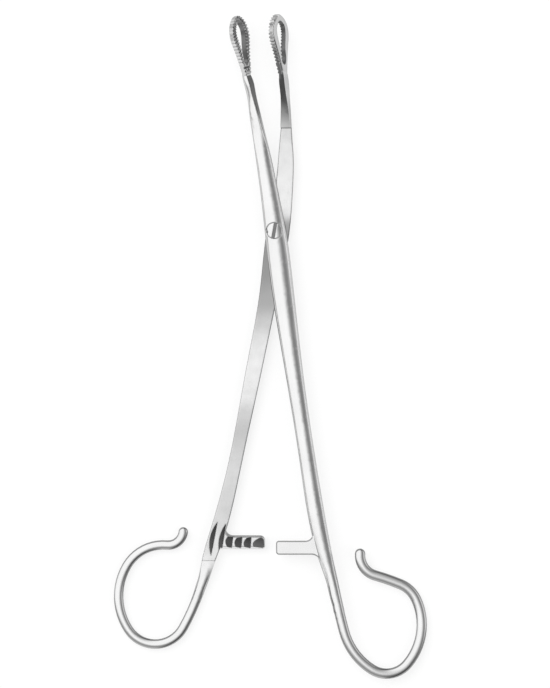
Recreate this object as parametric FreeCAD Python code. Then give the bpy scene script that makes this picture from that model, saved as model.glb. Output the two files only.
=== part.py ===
import FreeCAD, Part
import math
import os

V = FreeCAD.Vector

# The forceps lie on their back with the jaws towards +Y, open as they rest.
# Millimetres; the origin is where the pivot axis meets the ground back of the lock.

# Arm stock: a flat inner face and a crowned outer face
ARM_DEPTH = 3.0
LAP_CLEARANCE = 0.1
INNER_STOCK = 0.3
OUTER_STOCK = 0.25
CROWN_SLOPE = 26.0
SHOULDER_SHARE = 0.2
SECTION_ANGLES = (-130, -90, -50, -25, 0, 27, 54, 90, 126, 153, 180, 205)
ROD_ROUNDNESS = (0.97, 0.87, 0.65)
LOFT_DEGREE = 3

# Back arm, from the hook to the start of the neck: plan place and breadth
BACK_SHANK = (
    (-22.75, -108.8, 3.03),
    (-21.9, -106.4, 3.17),
    (-21.0, -103.6, 3.4),
    (-19.0, -96.4, 4.3),
    (-16.3, -88.0, 4.6),
    (-10.6, -64.0, 4.0),
    (-5.6, -39.0, 4.85),
    (-1.7, -18.7, 5.5),
    (0.9, -1.5, 6.9),
    (2.8, 12.0, 5.5),
    (3.5, 23.0, 4.5),
)

# Front arm, the same way
FRONT_SHANK = (
    (18.65, -111.0, 3.3),
    (17.8, -107.3, 3.45),
    (16.9, -103.6, 3.65),
    (14.9, -96.4, 4.5),
    (13.3, -89.2, 5.0),
    (9.2, -64.0, 4.8),
    (5.4, -39.0, 5.5),
    (2.4, -17.0, 6.6),
    (0.4, -1.0, 6.4),
    (-1.5, 11.3, 5.3),
    (-3.5, 23.0, 4.5),
)

# Necks: plan place, breadth, depth, then the shares done of the climb and of the turn to the jaw
BACK_NECK = (
    (3.6, 27.8, 3.6, 2.7, 0.17, 0.28),
    (3.6, 32.6, 2.9, 2.4, 0.37, 0.56),
    (3.5, 37.4, 2.4, 2.2, 0.59, 0.8),
    (3.2, 42.2, 2.0, 2.5, 0.81, 1.0),
)
FRONT_NECK = (
    (-4.5, 27.8, 3.8, 2.7, 0.3, 0.28),
    (-5.5, 32.6, 3.2, 2.4, 0.6, 0.56),
    (-6.4, 37.4, 2.5, 2.2, 0.8, 0.8),
    (-7.3, 42.2, 2.0, 2.5, 1.0, 1.0),
)

# Milling of the inner faces, from a little below the ratchet to the start of the necks
MILL_MARGIN = 3.5
MILL_TOP = 31.0
LOCK_FLAT_REACH = 13.0

# Finger hooks: rod, start and heading, then bends as radius and turn
ROD_STEP = 0.5
ROD_OVERLAP = 0.3
ROD_LAND = 1.1
ROD_SOCKET_GAIN = 1.03
BACK_ROD = 2.85
BACK_HOOK_START = (-23.7, -111.4)
BACK_HOOK_HEADING = 248.7
BACK_HOOK_BENDS = ((63.0, -8.0), (9.6, -117.4), (18.3, -63.5), (12.6, -65.2), (4.5, 89.0))
FRONT_ROD = 3.15
FRONT_HOOK_START = (19.47, -114.45)
FRONT_HOOK_HEADING = 283.4
FRONT_HOOK_BENDS = (
    (300.0, 1.1),
    (19.5, 43.6),
    (8.3, 81.0),
    (18.0, 66.0),
    (9.0, 42.2),
    (68.0, 6.9),
    (6.3, -78.6),
)

# Pivot screw and its fits
HEAD_DIA = 4.7
HEAD_WEB = 1.6
BEARING_DIA = 3.2
THREAD_DIA = 2.8
HEAD_CLEARANCE = 0.12
BEARING_CLEARANCE = 0.04
SEAT_CLEARANCE = 0.05
SLOT_WIDTH = 0.95
SLOT_DEPTH = 0.6
SLOT_TURN = 10.0

# Ratchet bars: their plan, then the teeth cut into the faces that meet
BAR_DEPTH = 2.5
BACK_BAR_TIP = -2.8
BACK_BAR_TOP = -91.5
BACK_BAR_HEIGHT = 4.1
BACK_BAR_CORNERS = (1.5, 1.0)
BACK_BAR_ROOTS = (2.4, 1.0)
BACK_FLARE_RISE = 7.5
BACK_FLARE_DROP = 2.2
BAR_STAGGER = 1.5
FRONT_BAR_TIP = 0.5
FRONT_BAR_HEIGHT = 4.2
FRONT_BAR_CORNERS = (0.9, 0.9)
FRONT_BAR_ROOTS = (2.2, 3.0)
FRONT_FLARE_RISE = 5.0
FRONT_FLARE_DROP = 3.8
FLARE_INSET = 0.35
CORE_INSET = 1.8
BAR_ROUND = 0.4
BAR_BEVEL = 0.7
TOOTH_PITCH = 1.68
TOOTH_WIDTH = 2.15
TOOTH_DEPTH = 0.5
SHORT_WHEEL = 8.0
LONG_WHEEL = 28.0
LONG_WIDTH = 1.35
LEAD_ANGLE = -1.6
LEAD_WIDTH = 3.9
BACK_FIRST_TOOTH = -4.31
BACK_SHORT_TEETH = 3
BACK_LONG_TEETH = 2
FRONT_FIRST_TOOTH = 1.2
FRONT_TEETH = 4

# Jaws: a toothed ring on a tapering tongue, turned about the arm and leaning in its own plane.
# Half widths are given at distances out from the root, then at distances back from the tip.
JAW_TURN = 36.0
JAW_LEAN = 6.0
JAW_LENGTH = 17.9
JAW_DEPTH = 1.8
JAW_RIM = 1.95
JAW_ROOT = (1.9, 47.0)
JAW_CLIMB = 3.5
JAW_ROOT_SIDES = ((0.0, 1.3), (3.9, 2.1), (6.9, 2.85))
JAW_TIP_SIDES = ((6.3, 4.05), (2.7, 3.4), (1.05, 2.15))
WINDOW_FOOT = 2.7
WINDOW_ROOT_SIDES = ((3.2, 0.7), (6.5, 1.15))
WINDOW_TIP_SIDES = ((6.3, 2.1), (3.2, 1.65))
JAW_BACK_BEVEL = 0.45
JAW_CONTACT_ANGLE = 9.6
TOE_IN = 5.0
TOOTH_ROW_PITCH = 1.05
SERRATION_WIDTH = 0.8
SERRATION_DEPTH = 0.36
NOTCH_DEPTH = 0.2
SERRATED_SHARE = 0.42
TONGUE_GROOVES = 3
GROOVE_WIDTH = 0.3
GROOVE_DEPTH = 0.35
TONGUE_SINK = 0.12
TONGUE_STATIONS = ((-0.8, 1.8, 2.5), (1.2, 1.3, 2.4))

# Heights that follow from the stock
BACK_INNER = ARM_DEPTH
FRONT_INNER = ARM_DEPTH + LAP_CLEARANCE
FRONT_CREST = FRONT_INNER + ARM_DEPTH
BLANK_DEPTH = ARM_DEPTH + INNER_STOCK
BACK_MIDDLE = BLANK_DEPTH / 2
FRONT_MIDDLE = FRONT_CREST - BLANK_DEPTH / 2
HEAD_SEAT = FRONT_INNER + HEAD_WEB
JAW_HEIGHT = BACK_MIDDLE + JAW_CLIMB

# Outlines that follow from the jaw's length: the tip keeps its form
JAW_SIDES = JAW_ROOT_SIDES + tuple((JAW_LENGTH - back, half) for back, half in JAW_TIP_SIDES)
WINDOW_SIDES = WINDOW_ROOT_SIDES + tuple(
    (JAW_LENGTH - back, half) for back, half in WINDOW_TIP_SIDES)

# Places that follow from the ratchet bars
FRONT_BAR_TOP = BACK_BAR_TOP - BAR_STAGGER
BACK_FLARE_TOP = BACK_BAR_TOP + BACK_FLARE_RISE
BACK_FLARE_END = BACK_BAR_TOP - BACK_BAR_HEIGHT - BACK_FLARE_DROP
FRONT_FLARE_TOP = FRONT_BAR_TOP + FRONT_FLARE_RISE
FRONT_FLARE_END = FRONT_BAR_TOP - FRONT_BAR_HEIGHT - FRONT_FLARE_DROP
BACK_MILL_END = BACK_BAR_TOP - BACK_BAR_HEIGHT - MILL_MARGIN
FRONT_MILL_END = FRONT_BAR_TOP - FRONT_BAR_HEIGHT - MILL_MARGIN
TOOTH_RADIUS = -(BACK_BAR_TOP - BACK_BAR_HEIGHT + FRONT_BAR_TOP) / 2

# Spare length of a cutter that passes right through, and the least distance that counts
FAR = 200.0
TINY = 1e-6


def unit(degrees):
    """Plan direction at an angle from +X."""
    angle = math.radians(degrees)
    return V(math.cos(angle), math.sin(angle), 0)


def turned(vector, degrees):
    """A vector turned about the pivot axis."""
    return FreeCAD.Rotation(V(0, 0, 1), degrees).multVec(vector)


def box(low, high):
    """Axis-aligned block between two corners."""
    size = high - low
    return Part.makeBox(size.x, size.y, size.z, low)


def arm_section(centre, along, breadth, depth, turn, crest, roundness):
    """Closed section of an arm: flat on the inner side, crowned on the outer, or rounder."""
    right = V(along.y, -along.x, 0).normalize()
    spin = FreeCAD.Rotation(along, -turn)
    across = spin.multVec(right)
    outward = spin.multVec(V(0, 0, crest))
    half = breadth / 2
    shoulder = SHOULDER_SHARE * breadth
    crown_half = half - shoulder
    slope = math.radians(CROWN_SLOPE)
    crown_radius = crown_half / math.sin(slope) + shoulder
    shoulder_v = depth / 2 - crown_radius + (crown_radius - shoulder) * math.cos(slope)
    edge_u = crown_half + shoulder * math.sin(slope)
    edge_v = shoulder_v + shoulder * math.cos(slope)
    bow = math.pi / 4 - slope / 2
    bow_u = crown_half + shoulder * math.cos(bow)
    bow_v = shoulder_v + shoulder * math.sin(bow)
    wall_v = (shoulder_v - depth / 2) / 2
    flat = (
        (-half, -depth / 2), (0, -depth / 2), (half, -depth / 2), (half, wall_v),
        (half, shoulder_v), (bow_u, bow_v), (edge_u, edge_v), (0, depth / 2),
        (-edge_u, edge_v), (-bow_u, bow_v), (-half, shoulder_v), (-half, wall_v),
    )
    points = []
    for (u, v), angle in zip(flat, SECTION_ANGLES):
        round_u = half * math.cos(math.radians(angle))
        round_v = depth / 2 * math.sin(math.radians(angle))
        mixed_u = u + (round_u - u) * roundness
        mixed_v = v + (round_v - v) * roundness
        points.append(centre + across * mixed_u + outward * mixed_v)
    edges = []
    for first, middle, last in zip(points[::2], points[1::2], points[2::2] + points[:1]):
        straight = (middle - first).cross(last - first).Length < TINY
        curve = Part.LineSegment(first, last) if straight else Part.Arc(first, middle, last)
        edges.append(curve.toShape())
    return Part.Wire(edges)


def bend_path(start, heading, bends):
    """Centre line of a rod formed by tangent bends, with its end point."""
    edges = []
    point = V(start[0], start[1], 0)
    for radius, turn in bends:
        side = 1 if turn > 0 else -1
        centre = point + unit(heading + 90 * side) * radius
        spoke = point - centre
        middle = centre + turned(spoke, turn / 2)
        last = centre + turned(spoke, turn)
        edges.append(Part.Arc(point, middle, last).toShape())
        point = last
        heading += turn
    return Part.Wire(edges), point


def hook(start, heading, bends, diameter, start_height, tilt):
    """Open finger hook with a rounded end, tilted about its first direction."""
    path, end = bend_path(start, heading, bends)
    origin = V(start[0], start[1], 0)
    root = origin - unit(heading) * ROD_OVERLAP
    path = Part.Wire([Part.LineSegment(root, origin).toShape()] + path.Edges)
    circle = Part.Circle(root, unit(heading), diameter / 2).toBSpline()
    rod = path.makePipeShell([Part.Wire(circle.toShape())], True, False)
    rod = rod.fuse(Part.makeSphere(diameter / 2, end))
    rod.rotate(origin, unit(heading), tilt)
    rod.translate(V(0, 0, start_height))
    return rod


def hook_reach(start, heading, bends):
    """Furthest distance of a hook's centre line from the line of its first direction."""
    path = bend_path(start, heading, bends)[0]
    origin = V(start[0], start[1], 0)
    sideways = unit(heading + 90)
    return max(abs((point - origin).dot(sideways)) for point in path.discretize(Distance=ROD_STEP))


def plan_outline(points, radii):
    """Closed plan outline with each corner rounded by its own radius."""
    edges = []
    count = len(points)
    trimmed = []
    for index in range(count):
        corner = points[index]
        back = (points[index - 1] - corner).normalize()
        ahead = (points[(index + 1) % count] - corner).normalize()
        radius = radii[index]
        if radius == 0:
            trimmed.append((corner, corner, corner))
            continue
        half_angle = back.getAngle(ahead) / 2
        setback = radius / math.tan(half_angle)
        bisector = (back + ahead).normalize()
        middle = corner + bisector * (radius / math.sin(half_angle) - radius)
        trimmed.append((corner + back * setback, middle, corner + ahead * setback))
    for index in range(count):
        first, middle, last = trimmed[index]
        if first != last:
            edges.append(Part.Arc(first, middle, last).toShape())
        following = trimmed[(index + 1) % count][0]
        edges.append(Part.LineSegment(last, following).toShape())
    return Part.Wire(edges)


def side_point(shank, y, side, inset):
    """Point on a shank's side at a height in plan, let into the shank by an inset."""
    for (ax, ay, aw), (bx, by, bw) in zip(shank, shank[1:]):
        if ay <= y <= by:
            share = (y - ay) / (by - ay)
            slant = V(bx - ax, by - ay, 0).Length / (by - ay)
            reach = ((aw + (bw - aw) * share) / 2 - inset) * slant
            return V(ax + (bx - ax) * share + side * reach, y, 0)
    raise ValueError("no shank at this height")


def ratchet_bar(shank, side, tip, top, height, corners, roots, flare_top, flare_end):
    """Plan outline of a ratchet bar with its flared root in the shank."""
    low = top - height
    upper_root = side_point(shank, top, side, FLARE_INSET)
    lower_root = side_point(shank, low, side, FLARE_INSET)
    flare_high = side_point(shank, flare_top, side, FLARE_INSET)
    flare_low = side_point(shank, flare_end, side, FLARE_INSET)
    core_high = side_point(shank, flare_top, side, CORE_INSET)
    core_low = side_point(shank, flare_end, side, CORE_INSET)
    points = [
        flare_high, upper_root, V(tip, top, 0), V(tip, low, 0), lower_root, flare_low,
        core_low, core_high,
    ]
    radii = [0, roots[0], corners[0], corners[1], roots[1], 0, 0, 0]
    return plan_outline(points, radii)


def level_edges(solid, height):
    """Edges of a solid that lie at one height."""
    found = []
    for edge in solid.Edges:
        bounds = edge.BoundBox
        if abs(bounds.ZMin - height) < TINY and abs(bounds.ZMax - height) < TINY:
            found.append(edge)
    return found


def open_edges(bar, height, outline_x, side):
    """Edges of a bar's face that stay open once its core is inside the shank."""
    found = []
    for edge in level_edges(bar, height):
        bounds = edge.BoundBox
        if (bounds.XMax - outline_x) * side > TINY and (bounds.XMin - outline_x) * side > -TINY:
            found.append(edge)
    return found


def tooth_cutter(angle, width, wheel, face, ramp, up):
    """Wheel-shaped cutter for one ratchet valley: a steep flank, and a ramp that rises to one side."""
    radial = unit(angle - 90)
    tangent = unit(angle) * ramp
    bottom = radial * TOOTH_RADIUS + V(0, 0, face - up * TOOTH_DEPTH)
    hub = bottom + V(0, 0, up * wheel)
    rise = wheel / 2
    points = [
        bottom, bottom + tangent * (width / TOOTH_DEPTH * rise) + V(0, 0, up * rise),
        bottom + V(0, 0, up * rise), bottom,
    ]
    profile = Part.Face(Part.makePolygon(points))
    return profile.revolve(hub, tangent, 360)


def ratchet_teeth(first, pitch, count, width, wheel, face, ramp, up):
    """Row of cutters at even angles about the pivot."""
    angles = [first + pitch * index for index in range(count)]
    return [tooth_cutter(angle, width, wheel, face, ramp, up) for angle in angles]


def slab(outline, low, high):
    """Upright solid over a plan outline."""
    shape = Part.Face(outline)
    shape.translate(V(0, 0, low))
    return shape.extrude(V(0, 0, high - low))


def side_curve():
    """Outline of the jaw from its right foot round the tip to its left foot, in its own plane."""
    right = [V(place, -half, 0) for place, half in JAW_SIDES]
    left = [V(place, half, 0) for place, half in reversed(JAW_SIDES)]
    curve = Part.BSplineCurve()
    curve.interpolate(Points=right + [V(JAW_LENGTH, 0, 0)] + left)
    return curve


def ring_curve(share):
    """Closed curve in the rim: at share 0 it is the window's edge, at share 1 it is the outline."""
    outer = side_curve()
    spots = [(WINDOW_FOOT, 0.0)] + [(place, -half) for place, half in WINDOW_SIDES]
    spots += [(JAW_LENGTH - JAW_RIM, 0.0)]
    spots += [(place, half) for place, half in reversed(WINDOW_SIDES)]
    points = []
    for place, half in spots:
        inner = V(place, half, 0)
        near = V(0, 0, 0) if place == WINDOW_FOOT else outer.value(outer.parameter(inner))
        points.append(inner + (near - inner) * share)
    curve = Part.BSplineCurve()
    curve.interpolate(Points=points, PeriodicFlag=True)
    return Part.Wire(curve.toShape())


def groove(start, along, width, depth, reach):
    """V groove of a width and depth along a line in the toothed face."""
    across = V(-along.y, along.x, 0) * (width / 2)
    low = start - V(0, 0, depth)
    high = V(0, 0, depth)
    points = [low, low + across * 2 + high * 2, low - across * 2 + high * 2, low]
    return Part.Face(Part.makePolygon(points)).extrude(along * reach)


def notch(start, inward, width, depth):
    """V notch down the outer wall of the rim."""
    across = V(-inward.y, inward.x, 0) * (width / 2)
    bottom = start + inward * depth - V(0, 0, 2 * JAW_DEPTH)
    back = inward * (-2 * depth)
    points = [bottom, bottom + across * 2 + back, bottom - across * 2 + back, bottom]
    return Part.Face(Part.makePolygon(points)).extrude(V(0, 0, 4 * JAW_DEPTH))


def jaw_teeth():
    """Cutters for the teeth: grooves square to the rim and down its outer wall, then across the tongue."""
    outline = side_curve()
    length = outline.length()
    count = int(length * SERRATED_SHARE / TOOTH_ROW_PITCH)
    cutters = []
    for index in range(-count, count):
        parameter = outline.parameterAtDistance(length / 2 + (index + 0.5) * TOOTH_ROW_PITCH)
        point = outline.value(parameter)
        tangent = outline.tangent(parameter)[0]
        inward = V(-tangent.y, tangent.x, 0)
        start = point - inward * SERRATION_WIDTH
        reach = SERRATION_WIDTH + JAW_RIM + GROOVE_WIDTH
        cutters.append(groove(start, inward, SERRATION_WIDTH, SERRATION_DEPTH, reach))
        cutters.append(notch(point, inward, SERRATION_WIDTH, NOTCH_DEPTH))
    for index in range(TONGUE_GROOVES):
        start = V(WINDOW_FOOT - TOOTH_ROW_PITCH * (index + 0.5), -JAW_DEPTH * 2, 0)
        cutters.append(groove(start, V(0, 1, 0), SERRATION_WIDTH, SERRATION_DEPTH, JAW_DEPTH * 4))
    return cutters


def rim_groove():
    """Groove along the middle of the rim, which splits the ridges into two rows of teeth."""
    spread = GROOVE_WIDTH / JAW_RIM / 2
    ring = slab(ring_curve(0.5 + spread), -GROOVE_DEPTH, JAW_DEPTH)
    return ring.cut(slab(ring_curve(0.5 - spread), -2 * GROOVE_DEPTH, 2 * JAW_DEPTH))


def jaw():
    """Jaw in its own frame: X along it from the root, Z out of the toothed face, which is at Z 0."""
    curve = side_curve()
    foot = Part.LineSegment(curve.EndPoint, curve.StartPoint)
    plate = slab(Part.Wire([curve.toShape(), foot.toShape()]), -JAW_DEPTH, 0)
    rim_edges = [edge for edge in level_edges(plate, -JAW_DEPTH) if edge.BoundBox.XLength > TINY]
    plate = plate.makeChamfer(JAW_BACK_BEVEL, rim_edges)
    plate = plate.cut(slab(ring_curve(0.0), -2 * JAW_DEPTH, JAW_DEPTH))
    return plate.cut(rim_groove()).cut(jaw_teeth())


def jaw_frame(front):
    """Root point and axes of a jaw: along it, across it and out of its toothed face.

    The front jaw stands half a pitch further out, so that its teeth meet the other's valleys."""
    outward = V(math.cos(math.radians(JAW_TURN)), 0, math.sin(math.radians(JAW_TURN)))
    sideways = V(-outward.z, 0, outward.x)
    lean = math.tan(math.radians(JAW_LEAN)) / outward.z
    along = (V(0, 1, 0) + sideways * lean).normalize()
    across = outward.cross(along)
    root = V(JAW_ROOT[0], JAW_ROOT[1], JAW_HEIGHT)
    if not front:
        return root, along, -across, -outward
    tip = turned(root + along * (JAW_LENGTH + TOOTH_ROW_PITCH / 2), JAW_CONTACT_ANGLE)
    swing = JAW_CONTACT_ANGLE - TOE_IN
    along = turned(along, swing)
    return tip - along * JAW_LENGTH, along, turned(across, swing), turned(outward, swing)


def placed_jaw(front):
    """A jaw moved to its place on an arm."""
    root, along, across, outward = jaw_frame(front)
    shape = jaw()
    shape.Placement = FreeCAD.Placement(FreeCAD.Matrix(
        along.x, across.x, outward.x, root.x,
        along.y, across.y, outward.y, root.y,
        along.z, across.z, outward.z, root.z,
        0, 0, 0, 1))
    return shape


def arm_blank(front, shank, neck, hook_start, hook_heading, rod):
    """Forged blank of an arm from the rod of its hook to the tongue of its jaw."""
    crest = 1 if front else -1
    middle = FRONT_MIDDLE if front else BACK_MIDDLE
    lock_depth = BLANK_DEPTH if front else BLANK_DEPTH + OUTER_STOCK
    rod_middle = FRONT_CREST - rod / 2 if front else rod / 2
    start = V(hook_start[0], hook_start[1], rod_middle)
    socket = rod * ROD_SOCKET_GAIN
    land = start - unit(hook_heading) * ROD_LAND
    rows = [(start, socket, socket, 0.0, 1.0), (land, socket, socket, 0.0, 1.0)]
    for (x, y, breadth), roundness in zip(shank, ROD_ROUNDNESS):
        depth = BLANK_DEPTH + (rod - BLANK_DEPTH) * roundness
        height = middle + crest * (BLANK_DEPTH - depth) / 2
        rows.append((V(x, y, height), breadth, depth, 0.0, roundness))
    for x, y, breadth in shank[len(ROD_ROUNDNESS):]:
        depth = lock_depth if abs(y) < LOCK_FLAT_REACH else BLANK_DEPTH
        height = middle - crest * (BLANK_DEPTH - depth) / 2
        rows.append((V(x, y, height), breadth, depth, 0.0, 0.0))
    root, along, _, outward = jaw_frame(front)
    tongue = []
    for place, thickness, width in TONGUE_STATIONS:
        centre = root + along * place - outward * (TONGUE_SINK + thickness / 2)
        tongue.append((centre, thickness, width, JAW_TURN, 0.0))
    climb = tongue[0][0].z - middle
    for x, y, breadth, depth, climbed, turn in neck:
        rows.append((V(x, y, middle + climb * climbed), breadth, depth, JAW_TURN * turn, 0.0))
    rows += tongue
    wires = []
    for index, (centre, breadth, depth, turn, roundness) in enumerate(rows):
        before = rows[max(index - 1, 0)][0]
        after = rows[min(index + 1, len(rows) - 1)][0]
        course = V(after.x - before.x, after.y - before.y, 0).normalize()
        wires.append(arm_section(centre, course, breadth, depth, turn, crest, roundness))
    return Part.makeLoft(wires, True, False, False, LOFT_DEGREE)


def back_arm():
    """Back arm: its flat inner face is up, its ratchet teeth are cut into that face."""
    body = arm_blank(False, BACK_SHANK, BACK_NECK, BACK_HOOK_START, BACK_HOOK_HEADING, BACK_ROD)
    body = body.cut(box(V(-FAR, BACK_MILL_END, BACK_INNER), V(FAR, MILL_TOP, FAR)))
    body = body.cut(box(V(-FAR, -2 * LOCK_FLAT_REACH, -FAR), V(FAR, 2 * LOCK_FLAT_REACH, 0)))
    outline = ratchet_bar(
        BACK_SHANK, 1, BACK_BAR_TIP, BACK_BAR_TOP, BACK_BAR_HEIGHT,
        BACK_BAR_CORNERS, BACK_BAR_ROOTS, BACK_FLARE_TOP, BACK_FLARE_END)
    bar = slab(outline, BACK_INNER - BAR_DEPTH, BACK_INNER)
    core = side_point(BACK_SHANK, BACK_BAR_TOP, 1, FLARE_INSET).x
    bar = bar.makeChamfer(BAR_BEVEL, open_edges(bar, BACK_INNER, core, 1))
    bar = bar.makeChamfer(BAR_ROUND, level_edges(bar, BACK_INNER - BAR_DEPTH))
    body = body.fuse(bar)
    lead = tooth_cutter(LEAD_ANGLE, LEAD_WIDTH, SHORT_WHEEL, BACK_INNER, -1, 1)
    short = ratchet_teeth(
        BACK_FIRST_TOOTH, -TOOTH_PITCH, BACK_SHORT_TEETH, TOOTH_WIDTH, SHORT_WHEEL, BACK_INNER, -1, 1)
    first_long = BACK_FIRST_TOOTH - TOOTH_PITCH * BACK_SHORT_TEETH
    long = ratchet_teeth(
        first_long, -TOOTH_PITCH, BACK_LONG_TEETH, LONG_WIDTH, LONG_WHEEL, BACK_INNER, -1, 1)
    body = body.cut([lead] + short + long)
    body = body.cut(Part.makeCylinder(THREAD_DIA / 2, FAR, V(0, 0, -FAR / 2)))
    loop = hook(BACK_HOOK_START, BACK_HOOK_HEADING, BACK_HOOK_BENDS, BACK_ROD, BACK_ROD / 2, 0)
    return body.fuse([placed_jaw(False), loop]).removeSplitter()


def front_arm(blank):
    """Front arm: its crowned face is up, it turns on the screw, its teeth face down."""
    body = blank.cut(box(V(-FAR, FRONT_MILL_END, -FAR), V(FAR, MILL_TOP, FRONT_INNER)))
    outline = ratchet_bar(
        FRONT_SHANK, -1, FRONT_BAR_TIP, FRONT_BAR_TOP, FRONT_BAR_HEIGHT,
        FRONT_BAR_CORNERS, FRONT_BAR_ROOTS, FRONT_FLARE_TOP, FRONT_FLARE_END)
    bar = slab(outline, FRONT_INNER, FRONT_INNER + BAR_DEPTH)
    bar = bar.makeFillet(BAR_ROUND, level_edges(bar, FRONT_INNER + BAR_DEPTH))
    core = side_point(FRONT_SHANK, FRONT_BAR_TOP, -1, FLARE_INSET).x
    bar = bar.makeChamfer(BAR_BEVEL, open_edges(bar, FRONT_INNER, core, -1))
    body = body.fuse(bar)
    body = body.cut(ratchet_teeth(
        FRONT_FIRST_TOOTH, TOOTH_PITCH, FRONT_TEETH, TOOTH_WIDTH, SHORT_WHEEL, FRONT_INNER, 1, -1))
    body = body.cut(Part.makeCylinder(BEARING_DIA / 2 + BEARING_CLEARANCE, FAR, V(0, 0, -FAR / 2)))
    seat = HEAD_SEAT - SEAT_CLEARANCE
    body = body.cut(Part.makeCylinder(HEAD_DIA / 2 + HEAD_CLEARANCE, FAR, V(0, 0, seat)))
    start_height = FRONT_CREST - FRONT_ROD / 2
    reach = hook_reach(FRONT_HOOK_START, FRONT_HOOK_HEADING, FRONT_HOOK_BENDS)
    tilt = math.degrees(math.asin((start_height - FRONT_ROD / 2) / reach))
    loop = hook(
        FRONT_HOOK_START, FRONT_HOOK_HEADING, FRONT_HOOK_BENDS, FRONT_ROD, start_height, -tilt)
    return body.fuse([placed_jaw(True), loop]).removeSplitter()


def pivot_screw(front_blank):
    """Slotted pivot screw, its head ground flush with the front arm's crown."""
    head = Part.makeCylinder(HEAD_DIA / 2, FAR, V(0, 0, HEAD_SEAT)).common(front_blank)
    bearing = Part.makeCylinder(BEARING_DIA / 2, HEAD_SEAT - BACK_INNER, V(0, 0, BACK_INNER))
    thread = Part.makeCylinder(THREAD_DIA / 2, BACK_INNER, V(0, 0, 0))
    slot = box(V(-SLOT_WIDTH / 2, -HEAD_DIA, FRONT_CREST - SLOT_DEPTH), V(SLOT_WIDTH / 2, HEAD_DIA, FAR))
    slot.rotate(V(0, 0, 0), V(0, 0, 1), -SLOT_TURN)
    return head.fuse([bearing, thread]).cut(slot).removeSplitter()


def main():
    os.makedirs("parts", exist_ok=True)
    front_blank = arm_blank(
        True, FRONT_SHANK, FRONT_NECK, FRONT_HOOK_START, FRONT_HOOK_HEADING, FRONT_ROD)
    nodes = {
        "back_arm": back_arm(),
        "front_arm": front_arm(front_blank),
        "pivot_screw": pivot_screw(front_blank),
    }
    for name, shape in nodes.items():
        shape.exportStep("parts/" + name + ".step")
        print(name, len(shape.Solids), shape.isValid(), round(shape.Volume, 1), shape.BoundBox)


main()
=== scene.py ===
"""Tonsil seizing forceps in polished steel, lying open on a pale table."""

import math

import bpy
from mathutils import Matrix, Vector


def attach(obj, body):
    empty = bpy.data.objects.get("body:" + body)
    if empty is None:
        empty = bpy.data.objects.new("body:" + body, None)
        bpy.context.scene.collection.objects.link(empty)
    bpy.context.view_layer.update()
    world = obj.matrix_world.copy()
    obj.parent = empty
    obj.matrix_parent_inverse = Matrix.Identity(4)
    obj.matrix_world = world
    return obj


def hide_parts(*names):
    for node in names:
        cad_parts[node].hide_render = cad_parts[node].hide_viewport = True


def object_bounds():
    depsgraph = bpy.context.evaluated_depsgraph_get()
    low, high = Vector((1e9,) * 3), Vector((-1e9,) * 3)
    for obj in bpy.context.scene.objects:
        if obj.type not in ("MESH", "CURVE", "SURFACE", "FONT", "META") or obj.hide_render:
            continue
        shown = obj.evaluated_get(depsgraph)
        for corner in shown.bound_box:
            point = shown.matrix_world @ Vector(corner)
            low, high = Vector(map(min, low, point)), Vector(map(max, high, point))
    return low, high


bl_info = {
    "name": "Tonsil seizing forceps",
    "version": (1, 0, 0),
    "blender": (4, 5, 0),
    "location": "3D View > Sidebar > Forceps",
    "description": "Polished tonsil seizing forceps on a pale table, with lamps and camera",
    "category": "Object",
}

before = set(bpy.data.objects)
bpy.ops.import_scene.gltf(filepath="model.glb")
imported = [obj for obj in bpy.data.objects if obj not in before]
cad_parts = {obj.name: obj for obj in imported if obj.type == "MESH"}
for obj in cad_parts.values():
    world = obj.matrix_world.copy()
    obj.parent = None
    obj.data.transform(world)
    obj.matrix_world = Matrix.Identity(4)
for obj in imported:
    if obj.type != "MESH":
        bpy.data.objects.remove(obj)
CAD_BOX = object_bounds()

MILLIMETRE = 0.001

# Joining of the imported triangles: reach, and the furthest that a corner's normal may lean off its face
MERGE_REACH = 0.001 * MILLIMETRE
LARGEST_LEAN = math.radians(40.0)

# Where the finishes change, in the frame of the part
JAW_TURN = math.radians(36.0)
JAW_START = 46.5 * MILLIMETRE
JAW_OUTWARD = Vector((math.cos(JAW_TURN), 0.0, math.sin(JAW_TURN)))
JAW_ALONG = Vector((-0.14, 0.98, 0.14))
WINDOW_MIDDLE = 7.5 * MILLIMETRE
BACK_FACE = 3.0 * MILLIMETRE
FRONT_FACE = 3.1 * MILLIMETRE
FACE_TOLERANCE = 0.05 * MILLIMETRE
RATCHET_LOW = Vector((-24.0, -99.5, 2.2)) * MILLIMETRE
RATCHET_HIGH = Vector((0.0, -84.0, 3.1)) * MILLIMETRE
BAR_EDGE_LOW = Vector((0.0, -98.2, 5.1)) * MILLIMETRE
BAR_EDGE_HIGH = Vector((14.5, -92.0, 5.7)) * MILLIMETRE
NECK_START = 24.0 * MILLIMETRE
SHANK_END = -100.0 * MILLIMETRE
HOOK_START = -113.0 * MILLIMETRE
HOOK_SIDES = (-25.5 * MILLIMETRE, 20.8 * MILLIMETRE)
SLOT_REACH = 2.3 * MILLIMETRE
SLOT_FLOOR = 5.6 * MILLIMETRE
SLOT_FLOOR_DIP = 0.6 * MILLIMETRE

# Cosines between a face's normal and a direction, at which its finish changes
LEVEL_FACING = 0.9999
CREST_FACING = 0.95
RAMP_FACING = 0.9
FRONT_NECK_FACING = 0.75
WALL_FACING = 0.45
SLOT_WALL_FACING = 0.4
BACK_JAW_SIDE_FACING = 0.2
BACK_NECK_FACING = 0.12

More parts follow.
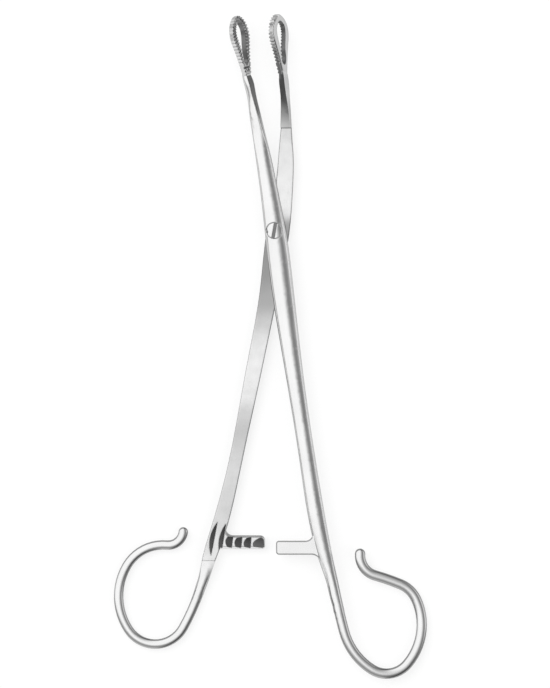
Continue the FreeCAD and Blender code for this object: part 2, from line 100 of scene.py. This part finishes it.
# Scratches: how fine they are, and how they are stretched along X, Y and Z
BUFFED_GRAIN = 2600.0
SCREW_GRAIN = 3000.0
GROUND_GRAIN = 3400.0
CUT_GRAIN = 4200.0
EVEN = (1.0, 1.0, 1.0)
ALONG_ARM = (1.0, 0.12, 1.0)
ALONG_GROUND_FACE = (1.0, 0.05, 1.0)
ROUND_HOOK = (0.5, 0.5, 1.0)
DOWN_THE_CUT = (1.0, 1.0, 0.2)
ACROSS_SCREW = (0.2, 1.0, 1.0)

# Noises of the steel as scale, detail and roughness, and the part of their range that counts
SCRATCH_DETAIL = 4.0
SCRATCH_ROUGHNESS = 0.6
WAVE_NOISE = (90.0, 1.0, 0.5)
WAVE_RANGE = (0.25, 0.75)
SMEAR_NOISE = (260.0, 5.0, 0.65)
SMEAR_RANGE = (0.3, 0.7)

# Shares that the smears leave of the roughness and the waves of the tone; rays that look for edges
SMEARED_GLOSS = (0.7, 1.35)
DRIFTING_TONE = (0.93, 1.0)
EDGE_SAMPLES = 6

# Painted shade: brightness of a surface's colour against how far it faces up, on round stock and on ground
# faces
ROUND_PAINTED_SHADE_LEVELS = ((0.42, 0.42), (0.6, 0.6), (0.78, 1.0))
GROUND_PAINTED_SHADE_LEVELS = ((0.71, 0.3), (0.82, 0.42), (0.93, 0.85), (0.98, 1.0))

# Bow of the back arm's ground face: which way it leans, then how far against metres of Y
BOW_AXIS = (0.0, -1.0, 0.0)
FACE_BOW = (
    (-0.100, 0.03), (-0.094, 0.07), (-0.088, 0.1), (-0.072, 0.105), (-0.066, 0.125), (-0.0605, 0.15),
    (-0.055, 0.13), (-0.049, 0.06), (-0.041, 0.04), (-0.034, 0.08), (-0.028, 0.145), (-0.021, 0.215),
    (-0.012, 0.27), (-0.003, 0.29), (0.001, 0.25), (0.007, 0.04), (0.018, 0.05), (0.024, 0.1),
    (0.031, 0.15))

# Painted shade on the necks, darker towards the gap between the jaws: metres of Y and brightness
BACK_NECK_PAINTED_SHADE = (
    (0.024, 1.0), (0.031, 0.7), (0.036, 0.42), (0.041, 0.2), (0.053, 0.2), (0.058, 0.8))
FRONT_NECK_PAINTED_SHADE = ((0.031, 1.0), (0.037, 0.3), (0.047, 0.2))

# Level of the studio round the object against the angle from straight up, in degrees:
# across it towards +X, and along it towards +Y
ACROSS_LEVELS = (
    (-180, 0.6), (-100, 0.7), (-85, 0.95), (-10, 1.0), (0, 0.97), (6, 0.8), (14, 0.5), (24, 0.24),
    (34, 0.21), (43, 0.45), (51, 0.8), (95, 0.8), (180, 0.6))
ALONG_LEVELS = (
    (-180, 0.7), (-72, 1.0), (-56, 0.4), (-36, 0.25), (-22, 0.5), (-10, 1.0), (40, 1.0), (58, 0.45),
    (85, 0.5), (180, 0.6))

# Stage: places and sizes in metres, the film in millimetres
KEY_PLACE = (-0.5, 0.45, 1.0)
KEY_SIZE = 1.2
FILL_PLACE = (0.6, -0.4, 0.9)
FILL_SIZE = 1.0
TABLE_GAP = 0.02 * MILLIMETRE
FILM_WIDTH = 36.0
VIEW_PLANE_DROP = 1.0 * MILLIMETRE
VIEW_END = 20.0


class FinishSettings(bpy.types.PropertyGroup):
    """How the steel is polished, ground and worn, and where shade is painted on it."""

    steel: bpy.props.FloatVectorProperty(
        name="Steel", description="Colour of the polished steel", subtype="COLOR",
        size=3, min=0.0, max=1.0, default=(0.96, 0.96, 0.96))
    # Painted shade: darker colour on the steep sides of every steel, which stands in for the dark surroundings
    # that the sides would mirror
    painted_side_shade: bpy.props.FloatProperty(
        name="Side tone", description="Brightness left on the steep sides, which the buffing wheel misses",
        subtype="FACTOR", min=0.0, max=1.0, default=0.3)
    knurl_tone: bpy.props.FloatProperty(
        name="Knurl tone", description="Brightness of the toothed jaw faces",
        subtype="FACTOR", min=0.0, max=1.0, default=0.9)
    # Painted shade: darker colour on the tooth flanks and on the front bar's edge
    painted_flank_shade: bpy.props.FloatProperty(
        name="Flank tone", description="Brightness of the flanks of the teeth and of the front bar's edge",
        subtype="FACTOR", min=0.0, max=1.0, default=0.6)
    # Painted shade: dark colour in the ratchet valleys, on the window walls and in the screw slot
    painted_cut_shade: bpy.props.FloatProperty(
        name="Cut tone",
        description="Brightness of unpolished cuts: ratchet valleys, window walls and the screw slot",
        subtype="FACTOR", min=0.0, max=1.0, default=0.26)
    polish: bpy.props.FloatProperty(
        name="Polish", description="Roughness of the buffed crowns and of the screw's head",
        subtype="FACTOR", min=0.0, max=1.0, default=0.13)
    ground: bpy.props.FloatProperty(
        name="Ground face", description="Roughness of the necks and of the flat faces where the arms meet",
        subtype="FACTOR", min=0.0, max=1.0, default=0.2)
    satin: bpy.props.FloatProperty(
        name="Satin", description="Roughness of the toothed jaws and of the cuts",
        subtype="FACTOR", min=0.0, max=1.0, default=0.27)
    rod_polish: bpy.props.FloatProperty(
        name="Rod polish", description="Roughness of the hooks",
        subtype="FACTOR", min=0.0, max=1.0, default=0.1)
    rod_crown: bpy.props.FloatProperty(
        name="Rod crown",
        description="How far the rods of the hooks keep their roundness under the buffing wheel",
        subtype="FACTOR", min=0.1, max=1.0, default=0.5)
    edge_round: bpy.props.FloatProperty(
        name="Edge rounding", description="Radius to which buffing rounds the edges of the arms",
        subtype="DISTANCE", min=0.0, max=0.002, precision=5, default=0.00042)
    face_round: bpy.props.FloatProperty(
        name="Face edge rounding", description="Radius to which the edges of the ground faces are eased",
        subtype="DISTANCE", min=0.0, max=0.002, precision=5, default=0.0006)
    scratch: bpy.props.FloatProperty(
        name="Scratch depth", description="Depth of the fine polishing scratches",
        subtype="DISTANCE", min=0.0, max=0.0001, precision=6, default=0.000004)
    wave: bpy.props.FloatProperty(
        name="Hand polish wave", description="Height of the soft waves left by polishing by hand",
        subtype="DISTANCE", min=0.0, max=0.001, precision=6, default=0.00003)


class StudioSettings(bpy.types.PropertyGroup):
    """Table, lamps and camera."""

    table: bpy.props.FloatVectorProperty(
        name="Table", description="Colour of the table", subtype="COLOR",
        size=3, min=0.0, max=1.0, default=(0.88, 0.88, 0.88))
    table_size: bpy.props.FloatProperty(
        name="Table size", description="Side of the square table",
        subtype="DISTANCE", unit="LENGTH", min=0.5, default=6.0)
    table_glow: bpy.props.FloatProperty(
        name="Table whitening", description="How far the seen table is lifted towards white",
        subtype="FACTOR", min=0.0, max=1.0, default=0.74)
    key_watts: bpy.props.FloatProperty(
        name="Key lamp", description="Power of the large lamp", subtype="POWER", min=0.0, default=11.0)
    fill_watts: bpy.props.FloatProperty(
        name="Fill lamp", description="Power of the second lamp", subtype="POWER", min=0.0, default=5.0)
    lens: bpy.props.FloatProperty(
        name="Lens", description="Focal length for a 36 mm film", subtype="DISTANCE_CAMERA",
        min=10.0, default=200.0)
    view_height: bpy.props.FloatProperty(
        name="View height", description="Length of table that the picture shows from top to bottom",
        subtype="DISTANCE", unit="LENGTH", min=0.05, default=0.2064)
    view_centre: bpy.props.FloatVectorProperty(
        name="View centre", description="Point of the table under the middle of the picture",
        subtype="XYZ", unit="LENGTH", size=2, default=(0.00018, -0.03399))


def only_active(item):
    """Selects one object and nothing else."""
    bpy.ops.object.select_all(action="DESELECT")
    item.select_set(True)
    bpy.context.view_layer.objects.active = item


def whole_copy(node_name, piece_name):
    """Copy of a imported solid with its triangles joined, which keeps the true normals of its curved faces."""
    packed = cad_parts[node_name].data
    mesh = packed.copy()
    mesh.name = piece_name
    piece = bpy.data.objects.new(piece_name, mesh)
    bpy.context.scene.collection.objects.link(piece)
    numbered = mesh.attributes.new("packed_face", "INT", "FACE")
    for face in mesh.polygons:
        numbered.data[face.index].value = face.index
    only_active(piece)
    bpy.ops.object.mode_set(mode="EDIT")
    bpy.ops.mesh.select_all(action="SELECT")
    bpy.ops.mesh.remove_doubles(threshold=MERGE_REACH)
    bpy.ops.object.mode_set(mode="OBJECT")
    bpy.ops.object.shade_smooth()
    numbers = [mark.value for mark in mesh.attributes["packed_face"].data]
    mesh.attributes.remove(mesh.attributes["packed_face"])
    mesh.normals_split_custom_set(true_normals(packed, mesh, numbers))
    mesh.materials.clear()
    return piece


def true_normals(packed, mesh, numbers):
    """Normal of every corner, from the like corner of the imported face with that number."""
    normals = [None] * len(mesh.loops)
    for face, number in zip(mesh.polygons, numbers):
        source = packed.polygons[number]
        for corner in face.loop_indices:
            place = mesh.vertices[mesh.loops[corner].vertex_index].co
            like = min(source.loop_indices, key=lambda other: (
                packed.vertices[packed.loops[other].vertex_index].co - place).length)
            normal = packed.corner_normals[like].vector.copy()
            if normal.angle(source.normal, math.pi) > LARGEST_LEAN:
                normal = source.normal.copy()
            normals[corner] = normal
    return normals


def node(tree, kind, place, **values):
    """One shader node at a place in its tree, with its settings."""
    made = tree.nodes.new(kind)
    made.location = place
    for name, value in values.items():
        setattr(made, name, value)
    return made


def feed(tree, value, socket):
    """Links a value to a socket, or writes it there where it is a plain one."""
    if isinstance(value, bpy.types.NodeSocket):
        tree.links.new(value, socket)
    else:
        socket.default_value = value


def new_tree(owner):
    """Emptied node tree of a material or a world."""
    owner.use_nodes = True
    owner.node_tree.nodes.clear()
    return owner.node_tree


def noise(tree, place, vector, scale, detail, roughness):
    """Level of a noise over a vector."""
    made = node(tree, "ShaderNodeTexNoise", place)
    made.inputs["Scale"].default_value = scale
    made.inputs["Detail"].default_value = detail
    made.inputs["Roughness"].default_value = roughness
    tree.links.new(vector, made.inputs["Vector"])
    return made.outputs["Fac"]


def carried(tree, place, value, source, target=(0.0, 1.0), **settings):
    """A value carried from one range to another."""
    made = node(tree, "ShaderNodeMapRange", place, **settings)
    made.inputs["From Min"].default_value = source[0]
    made.inputs["From Max"].default_value = source[1]
    made.inputs["To Min"].default_value = target[0]
    made.inputs["To Max"].default_value = target[1]
    tree.links.new(value, made.inputs["Value"])
    return made.outputs["Result"]


def ramp(tree, place, value, stops, interpolation="LINEAR"):
    """Grey from a colour ramp, whose stops are given as position and level."""
    made = node(tree, "ShaderNodeValToRGB", place)
    made.color_ramp.interpolation = interpolation
    elements = made.color_ramp.elements
    while len(elements) < len(stops):
        elements.new(0.5)
    for element, (position, level) in zip(elements, stops):
        element.position = position
        element.color = (level, level, level, 1.0)
    tree.links.new(value, made.inputs["Fac"])
    return made.outputs["Color"]


def product(tree, place, first, second):
    """One colour multiplied by another."""
    made = node(tree, "ShaderNodeMix", place, data_type="RGBA", blend_type="MULTIPLY")
    made.inputs["Factor"].default_value = 1.0
    feed(tree, first, made.inputs["A"])
    feed(tree, second, made.inputs["B"])
    return made.outputs["Result"]


def number_math(tree, place, operation, *values):
    """Result of an operation on numbers."""
    made = node(tree, "ShaderNodeMath", place, operation=operation)
    for value, socket in zip(values, made.inputs):
        feed(tree, value, socket)
    return made.outputs["Value"]


def vector_math(tree, place, operation, *values):
    """Result of an operation on vectors."""
    made = node(tree, "ShaderNodeVectorMath", place, operation=operation)
    for value, socket in zip(values, made.inputs):
        feed(tree, value, socket)
    return made.outputs["Vector"]


def bump(tree, place, height, depth, base=None):
    """Normal over a height of some depth, on top of another normal where one is given."""
    made = node(tree, "ShaderNodeBump", place)
    made.inputs["Strength"].default_value = 1.0
    made.inputs["Distance"].default_value = depth
    tree.links.new(height, made.inputs["Height"])
    if base:
        tree.links.new(base, made.inputs["Normal"])
    return made.outputs["Normal"]


def part_of(tree, place, vector, axis):
    """One of the three parts of a vector."""
    made = node(tree, "ShaderNodeSeparateXYZ", place)
    tree.links.new(vector, made.inputs["Vector"])
    return made.outputs[axis]


def along_arm(tree, row, position, stops):
    """Level that changes along the arms, whose stops are given as Y and level."""
    first, last = stops[0][0], stops[-1][0]
    along = part_of(tree, (-1000, row), position, "Y")
    share = carried(tree, (-800, row), along, (first, last))
    shares = [((y - first) / (last - first), level) for y, level in stops]
    return ramp(tree, (-550, row), share, shares, "EASE")


def bowed(tree, position, normal, bow):
    """Normal of a ground face that is slightly bowed along the arm."""
    lean = along_arm(tree, -700, position, bow)
    amount = vector_math(tree, (-200, -700), "MULTIPLY", lean, BOW_AXIS)
    leaned = vector_math(tree, (300, -500), "ADD", normal, amount)
    return vector_math(tree, (450, -500), "NORMALIZE", leaned)


def crowned(tree, position, normal, crown):
    """Normal of stock that buffing leaves flatter on top, by a share at the hook and one at the shank."""
    along = part_of(tree, (-1000, -950), position, "Y")
    share = carried(
        tree, (-800, -950), along, (HOOK_START, SHANK_END), crown, interpolation_type="SMOOTHSTEP")
    scale = node(tree, "ShaderNodeCombineXYZ", (100, -850))
    scale.inputs["Z"].default_value = 1.0
    tree.links.new(share, scale.inputs["X"])
    tree.links.new(share, scale.inputs["Y"])
    eased = vector_math(tree, (300, -650), "MULTIPLY", normal, scale.outputs["Vector"])
    return vector_math(tree, (450, -650), "NORMALIZE", eased)


def steel_material(
        name, roughness, grain, stretch, tone=1.0, facing=ROUND_PAINTED_SHADE_LEVELS, rounding=0.0, bow=None,
        crown=None, painted_neck_shade=None):
    """Bright steel: fine scratches, soft waves, smears in the polish, and shade painted darker on the steep
    sides.
    """
    finish = bpy.context.scene.forceps_finish
    material = bpy.data.materials.new(name)
    tree = new_tree(material)
    link = tree.links.new
    output = node(tree, "ShaderNodeOutputMaterial", (900, 0))
    shader = node(tree, "ShaderNodeBsdfPrincipled", (600, 0))
    shader.inputs["Metallic"].default_value = 1.0
    link(shader.outputs["BSDF"], output.inputs["Surface"])
    position = node(tree, "ShaderNodeTexCoord", (-1200, 0)).outputs["Object"]

    # Scratches, stretched the way that the wheel or the stone went
    mapping = node(tree, "ShaderNodeMapping", (-1000, -200))
    mapping.inputs["Scale"].default_value = stretch
    link(position, mapping.inputs["Vector"])
    scratches = noise(
        tree, (-800, -200), mapping.outputs["Vector"], grain, SCRATCH_DETAIL, SCRATCH_ROUGHNESS)

    # Soft waves of hand polishing
    waves = noise(tree, (-800, -450), position, *WAVE_NOISE)

    # Smears and handling marks change the gloss
    smears = noise(tree, (-800, 100), position, *SMEAR_NOISE)
    gloss = [roughness * share for share in SMEARED_GLOSS]
    link(carried(tree, (-500, 100), smears, SMEAR_RANGE, gloss), shader.inputs["Roughness"])

    # Rounded edges, waves and scratches, then the bow and the crown of the stock
    surface = node(tree, "ShaderNodeNewGeometry", (-1200, 450)).outputs["Normal"]
    base = None
    if rounding:
        rounded = node(tree, "ShaderNodeBevel", (-1200, 650), samples=EDGE_SAMPLES)
        rounded.inputs["Radius"].default_value = rounding
        surface = base = rounded.outputs["Normal"]
    soft = bump(tree, (-100, -450), waves, finish.wave, base)
    normal = bump(tree, (150, -300), scratches, finish.scratch, soft)
    if bow:
        normal = bowed(tree, position, normal, bow)
    if crown:
        normal = crowned(tree, position, normal, crown)
    link(normal, shader.inputs["Normal"])

    # Painted shade: steep sides and corners get a darker colour, and the tone drifts a little at random
    upright = part_of(tree, (-1000, 450), surface, "Z")
    steep = number_math(tree, (-800, 450), "ABSOLUTE", upright)
    stops = [(0.0, tone * finish.painted_side_shade)] + [(height, tone * level) for height, level in facing]
    tone_and_painted_shade = ramp(tree, (-550, 450), steep, stops)
    drift = carried(tree, (-500, 250), waves, WAVE_RANGE, DRIFTING_TONE)
    toned = product(tree, (-150, 350), (*finish.steel, 1.0), tone_and_painted_shade)
    colour = product(tree, (150, 300), toned, drift)

    # Painted shade: the colour darkens along the arm by these stops
    if painted_neck_shade:
        colour = product(tree, (350, 450), colour, along_arm(tree, 800, position, painted_neck_shade))
    link(colour, shader.inputs["Base Color"])
    return material


def steel_recipes(finish):
    """What each of the object's steels is made of."""
    return {
        "polished_steel": dict(
            roughness=finish.polish, grain=BUFFED_GRAIN, stretch=ALONG_ARM,
            rounding=finish.edge_round),
        "ground_steel": dict(
            roughness=finish.ground, grain=GROUND_GRAIN, stretch=ALONG_GROUND_FACE,
            facing=GROUND_PAINTED_SHADE_LEVELS, rounding=finish.face_round, bow=FACE_BOW),
        "hook_steel": dict(
            roughness=finish.rod_polish, grain=BUFFED_GRAIN, stretch=ROUND_HOOK,
            crown=(finish.rod_crown, finish.rod_crown)),
        "shank_end_steel": dict(
            roughness=finish.rod_polish, grain=BUFFED_GRAIN, stretch=ALONG_ARM,
            crown=(finish.rod_crown, 1.0)),
        # Painted shade: darker colour on the front bar's edge
        "bar_edge_painted_shade_steel": dict(
            roughness=finish.polish, grain=BUFFED_GRAIN, stretch=EVEN, tone=finish.painted_flank_shade),
        # Painted shade: the necks darken along the arm
        "back_neck_painted_shade_steel": dict(
            roughness=finish.ground, grain=BUFFED_GRAIN, stretch=ALONG_ARM, painted_neck_shade=BACK_NECK_PAINTED_SHADE),
        "front_neck_painted_shade_steel": dict(
            roughness=finish.ground, grain=BUFFED_GRAIN, stretch=ALONG_ARM, painted_neck_shade=FRONT_NECK_PAINTED_SHADE),
        # Painted shade: darker colour on the tooth flanks
        "flank_painted_shade_steel": dict(
            roughness=finish.satin, grain=CUT_GRAIN, stretch=EVEN, tone=finish.painted_flank_shade),
        "knurled_steel": dict(
            roughness=finish.satin, grain=CUT_GRAIN, stretch=EVEN, tone=finish.knurl_tone),
        # Painted shade: dark colour in ratchet valleys, window walls and the screw slot
        "cut_painted_shade_steel": dict(
            roughness=finish.satin, grain=CUT_GRAIN, stretch=DOWN_THE_CUT, tone=finish.painted_cut_shade),
        "screw_head_steel": dict(
            roughness=finish.polish, grain=SCREW_GRAIN, stretch=ACROSS_SCREW,
            rounding=finish.edge_round),
    }


def shared_steel(name):
    """One of the object's steels, made the first time that a face needs it."""
    found = bpy.data.materials.get(name)
    if found:
        return found
    recipe = steel_recipes(bpy.context.scene.forceps_finish)[name]
    return steel_material(name, **recipe)


def place_finishes(piece, choose):
    """Gives each face of a piece the finish that a rule names for it."""
    used = []
    middle = window_middle(piece)
    for face in piece.data.polygons:
        name = choose(face.center, face.normal, middle)
        if name not in used:
            used.append(name)
            piece.data.materials.append(shared_steel(name))
        face.material_index = used.index(name)


def window_middle(piece):
    """Middle of a jaw's window, found from the jaw's tip."""
    tip = max((vertex.co for vertex in piece.data.vertices), key=lambda place: place.y)
    return tip - JAW_ALONG * WINDOW_MIDDLE


def jaw_finish(centre, normal, toothed, middle):
    """Finish of a jaw's face: crests and outer wall knurled, painted shade on the flanks and window walls,
    back bright.
    """
    facing = normal.dot(toothed)
    if facing > CREST_FACING:
        return "knurled_steel"
    # Painted shade: the tooth flanks are darker
    if facing > WALL_FACING:
        return "flank_painted_shade_steel"
    if facing > -WALL_FACING:
        # Painted shade: the window's inner walls are dark
        inner = normal.dot(centre - middle) < 0.0
        return "cut_painted_shade_steel" if inner else "knurled_steel"
    return "polished_steel"


def inside(place, low, high):
    """Whether a point lies in a box."""
    return all(least < value < most for least, value, most in zip(low, place, high))


def shank_finish(centre):
    """Finish of the bright faces: the arms, and the rods of the hooks below and beside them."""
    if centre.y < HOOK_START or not HOOK_SIDES[0] < centre.x < HOOK_SIDES[1]:
        return "hook_steel"
    return "shank_end_steel" if centre.y < SHANK_END else "polished_steel"


def back_arm_finish(centre, normal, middle):
    """Finish of the back arm's faces."""
    if centre.y > JAW_START:
        finish = jaw_finish(centre, normal, -JAW_OUTWARD, middle)
        # Painted shade: the back jaw's outer wall towards -X takes the necks' darkening
        wall = finish == "knurled_steel" and normal.x < -BACK_JAW_SIDE_FACING
        return "back_neck_painted_shade_steel" if wall else finish
    # Painted shade: neck faces towards -X darken along the arm
    if centre.y > NECK_START and normal.x < -BACK_NECK_FACING:
        return "back_neck_painted_shade_steel"
    if normal.z > LEVEL_FACING and abs(centre.z - BACK_FACE) < FACE_TOLERANCE:
        return "ground_steel"
    # Painted shade: the sloping faces of the ratchet teeth are dark
    if inside(centre, RATCHET_LOW, RATCHET_HIGH) and RAMP_FACING < normal.z < LEVEL_FACING:
        return "cut_painted_shade_steel"
    return shank_finish(centre)


def front_arm_finish(centre, normal, middle):
    """Finish of the front arm's faces."""
    if centre.y > JAW_START:
        return jaw_finish(centre, normal, JAW_OUTWARD, middle)
    # Painted shade: neck faces turned outward darken along the arm
    if centre.y > NECK_START and normal.dot(JAW_OUTWARD) > FRONT_NECK_FACING:
        return "front_neck_painted_shade_steel"
    # Painted shade: the front bar's steep edge is darker
    if inside(centre, BAR_EDGE_LOW, BAR_EDGE_HIGH) and normal.z < LEVEL_FACING:
        return "bar_edge_painted_shade_steel"
    if normal.z < -LEVEL_FACING and abs(centre.z - FRONT_FACE) < FACE_TOLERANCE:
        return "ground_steel"
    return shank_finish(centre)


def screw_finish(centre, normal, middle):
    """Finish of the screw's faces: the slot gets painted shade."""
    near = Vector((centre.x, centre.y)).length < SLOT_REACH
    steep = abs(normal.z) < SLOT_WALL_FACING
    if near and centre.z > SLOT_FLOOR - SLOT_FLOOR_DIP and (steep or centre.z < SLOT_FLOOR):
        return "cut_painted_shade_steel"
    return "screw_head_steel"


class FORCEPS_OT_back_arm(bpy.types.Operator):
    """Adds the back arm, the one that the screw is threaded into"""

    bl_idname = "forceps.back_arm"
    bl_label = "Back arm"

    def execute(self, context):
        piece = whole_copy("back_arm", "polished_back_arm")
        place_finishes(piece, back_arm_finish)
        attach(piece, "back_half")
        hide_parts("back_arm")
        return {"FINISHED"}


class FORCEPS_OT_front_arm(bpy.types.Operator):
    """Adds the front arm, the one that turns on the screw"""

    bl_idname = "forceps.front_arm"
    bl_label = "Front arm"

    def execute(self, context):
        piece = whole_copy("front_arm", "polished_front_arm")
        place_finishes(piece, front_arm_finish)
        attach(piece, "front_half")
        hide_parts("front_arm")
        return {"FINISHED"}


class FORCEPS_OT_pivot_screw(bpy.types.Operator):
    """Adds the slotted pivot screw"""

    bl_idname = "forceps.pivot_screw"
    bl_label = "Pivot screw"

    def execute(self, context):
        piece = whole_copy("pivot_screw", "polished_pivot_screw")
        place_finishes(piece, screw_finish)
        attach(piece, "back_half")
        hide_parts("pivot_screw")
        return {"FINISHED"}


def table_material(studio):
    """Pale table that is seen nearly white and still takes the object's shadow."""
    material = bpy.data.materials.new("table_paper")
    tree = new_tree(material)
    link = tree.links.new
    output = node(tree, "ShaderNodeOutputMaterial", (700, 0))
    paper = node(tree, "ShaderNodeBsdfDiffuse", (0, 100))
    paper.inputs["Color"].default_value = (*studio.table, 1.0)
    glow = node(tree, "ShaderNodeEmission", (0, -100))
    rays = node(tree, "ShaderNodeLightPath", (-400, 400)).outputs
    seen = number_math(tree, (-200, 400), "MAXIMUM", rays["Is Camera Ray"], rays["Is Glossy Ray"])
    seen = number_math(tree, (0, 400), "MAXIMUM", seen, rays["Is Transmission Ray"])
    mix = node(tree, "ShaderNodeMixShader", (450, 0))
    link(number_math(tree, (200, 400), "MULTIPLY", seen, studio.table_glow), mix.inputs["Fac"])
    link(paper.outputs["BSDF"], mix.inputs[1])
    link(glow.outputs["Emission"], mix.inputs[2])
    link(mix.outputs["Shader"], output.inputs["Surface"])
    return material


def surround_level(tree, row, direction, axis, stops):
    """Level of the surround by the angle from straight up towards an axis, from stops in degrees."""
    sideways = part_of(tree, (-700, row), direction, axis)
    upwards = part_of(tree, (-700, row - 150), direction, "Z")
    angle = number_math(tree, (-500, row), "ARCTAN2", sideways, upwards)
    share = number_math(tree, (-300, row), "MULTIPLY_ADD", angle, 0.5 / math.pi, 0.5)
    shares = [(degrees / 360 + 0.5, level) for degrees, level in stops]
    return ramp(tree, (-100, row), share, shares)


def studio_world():
    """Soft white surround with a darker side, seen plain white by the camera."""
    world = bpy.data.worlds.new("studio")
    tree = new_tree(world)
    link = tree.links.new
    output = node(tree, "ShaderNodeOutputWorld", (900, 0))
    direction = node(tree, "ShaderNodeTexCoord", (-900, 0)).outputs["Generated"]
    across = surround_level(tree, 0, direction, "X", ACROSS_LEVELS)
    along = surround_level(tree, -400, direction, "Y", ALONG_LEVELS)
    surround = node(tree, "ShaderNodeBackground", (450, -100))
    link(product(tree, (250, -100), across, along), surround.inputs["Color"])
    white = node(tree, "ShaderNodeBackground", (450, 100))
    rays = node(tree, "ShaderNodeLightPath", (450, 450)).outputs
    mix = node(tree, "ShaderNodeMixShader", (700, 0))
    link(rays["Is Camera Ray"], mix.inputs["Fac"])
    link(surround.outputs["Background"], mix.inputs[1])
    link(white.outputs["Background"], mix.inputs[2])
    link(mix.outputs["Shader"], output.inputs["Surface"])
    return world


def area_lamp(name, place, size, watts):
    """Large soft lamp that points at the origin and isn't mirrored in the steel."""
    bpy.ops.object.light_add(type="AREA", location=place)
    lamp = bpy.context.object
    lamp.name = name
    lamp.data.shape = "SQUARE"
    lamp.data.size = size
    lamp.data.energy = watts
    lamp.rotation_euler = Vector(place).to_track_quat("Z", "Y").to_euler()
    lamp.visible_glossy = False


def overhead_camera(studio):
    """Camera that looks straight down from the distance at which the view has its height."""
    low, high = CAD_BOX[0][2], CAD_BOX[1][2]
    view_plane = (low + high) / 2 - VIEW_PLANE_DROP
    distance = studio.view_height * studio.lens / FILM_WIDTH
    x, y = studio.view_centre
    bpy.ops.object.camera_add(location=(x, y, view_plane + distance), rotation=(0.0, 0.0, 0.0))
    camera = bpy.context.object
    camera.name = "overhead_camera"
    camera.data.lens = studio.lens
    camera.data.sensor_width = FILM_WIDTH
    camera.data.clip_end = VIEW_END
    return camera


class FORCEPS_OT_stage(bpy.types.Operator):
    """Adds the table, the lamps, the surround and the camera"""

    bl_idname = "forceps.stage"
    bl_label = "Table, lamps and camera"

    def execute(self, context):
        scene = context.scene
        studio = scene.forceps_studio
        scene.view_settings.view_transform = "Standard"
        bpy.ops.object.select_all(action="DESELECT")
        table_height = CAD_BOX[0][2] - TABLE_GAP
        bpy.ops.mesh.primitive_plane_add(size=studio.table_size, location=(0.0, 0.0, table_height))
        table = context.object
        table.name = "table"
        table.data.materials.append(table_material(studio))
        area_lamp("key_lamp", KEY_PLACE, KEY_SIZE, studio.key_watts)
        area_lamp("fill_lamp", FILL_PLACE, FILL_SIZE, studio.fill_watts)
        scene.world = studio_world()
        scene.camera = overhead_camera(studio)
        return {"FINISHED"}


class FORCEPS_PT_panel(bpy.types.Panel):
    """Sizes, finishes and steps of the forceps"""

    bl_idname = "FORCEPS_PT_panel"
    bl_label = "Tonsil seizing forceps"
    bl_space_type = "VIEW_3D"
    bl_region_type = "UI"
    bl_category = "Forceps"

    def draw(self, context):
        layout = self.layout
        for settings in (context.scene.forceps_finish, context.scene.forceps_studio):
            box = layout.box()
            for name in settings.__annotations__:
                box.prop(settings, name)
        for operator in OPERATORS:
            layout.operator(operator.bl_idname)


OPERATORS = (FORCEPS_OT_back_arm, FORCEPS_OT_front_arm, FORCEPS_OT_pivot_screw, FORCEPS_OT_stage)
CLASSES = (FinishSettings, StudioSettings) + OPERATORS + (FORCEPS_PT_panel,)


def register():
    for made in CLASSES:
        bpy.utils.register_class(made)
    bpy.types.Scene.forceps_finish = bpy.props.PointerProperty(type=FinishSettings)
    bpy.types.Scene.forceps_studio = bpy.props.PointerProperty(type=StudioSettings)


def unregister():
    del bpy.types.Scene.forceps_studio
    del bpy.types.Scene.forceps_finish
    for made in reversed(CLASSES):
        bpy.utils.unregister_class(made)


def main():
    register()
    bpy.ops.forceps.back_arm()
    bpy.ops.forceps.front_arm()
    bpy.ops.forceps.pivot_screw()
    bpy.ops.forceps.stage()


if __name__ == "__main__":
    main()
